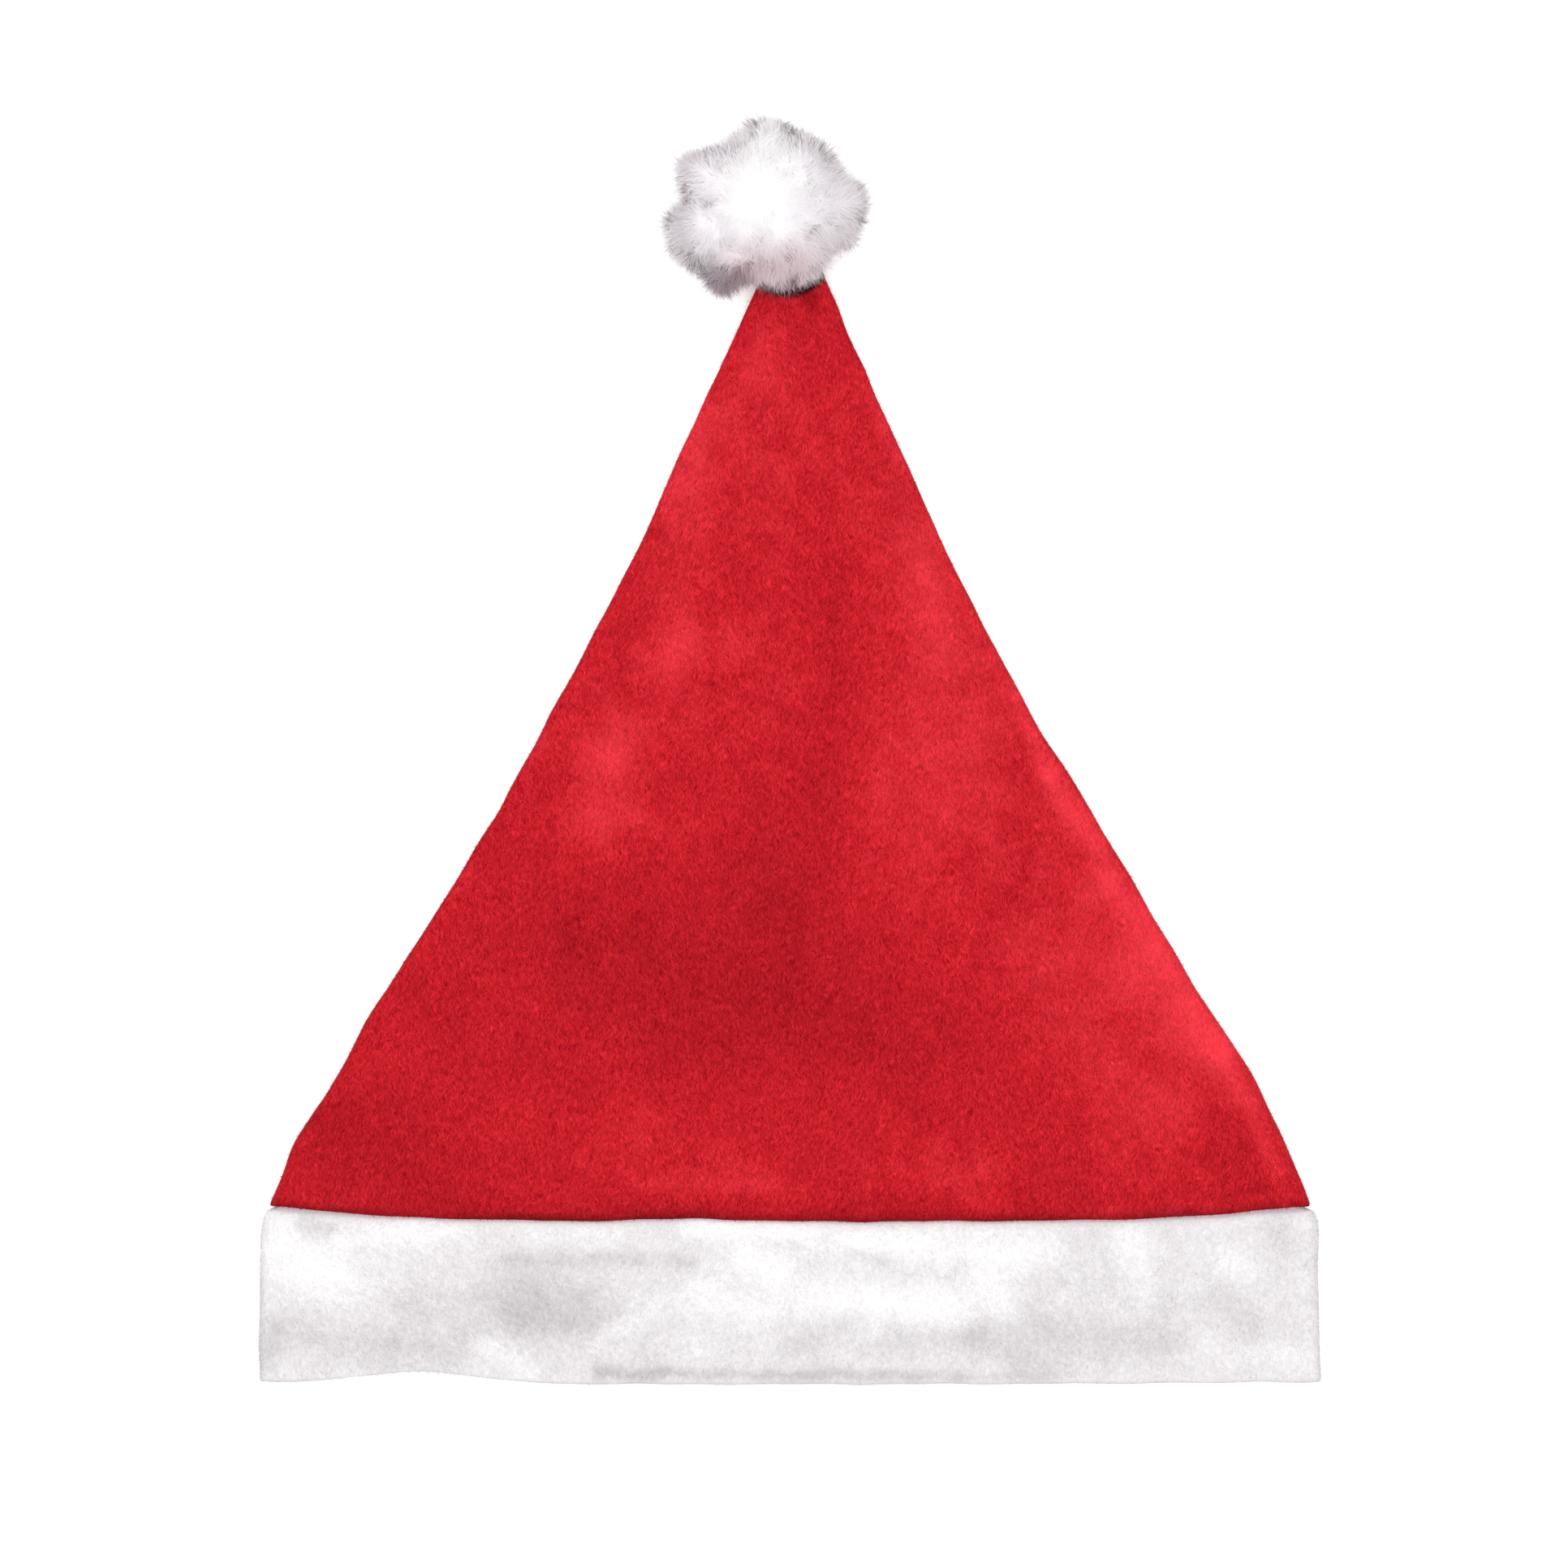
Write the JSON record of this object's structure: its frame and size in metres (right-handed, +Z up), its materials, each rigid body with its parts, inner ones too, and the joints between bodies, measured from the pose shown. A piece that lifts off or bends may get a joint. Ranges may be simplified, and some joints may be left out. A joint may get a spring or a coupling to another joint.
{
  "type": "santa hat",
  "caption": "Red felt Santa hat lying flat, with a white felt band and a white fake-fur pompom at its tip; hollow and open at the mouth.",
  "frame": {"origin": "middle of the band's underside, halfway up the band, on the plane that the hat lies on", "axes": "+Y from the mouth's rim to the pompom, +X across the mouth, +Z up through the flattened hat"},
  "size_m": [0.29, 0.345, 0.0457],
  "materials": {
    "red_felt": "brushed polyester felt, matt with a soft sheen where the nap lies over",
    "white_felt": "brushed polyester felt, matt, with a raw cut rim",
    "white_fur": "fluffy white fake fur in loose clumps"
  },
  "bodies": {
    "root": {"crown": "red_felt", "band": "white_felt", "pompom": "white_fur"}
  },
  "joints": []
}
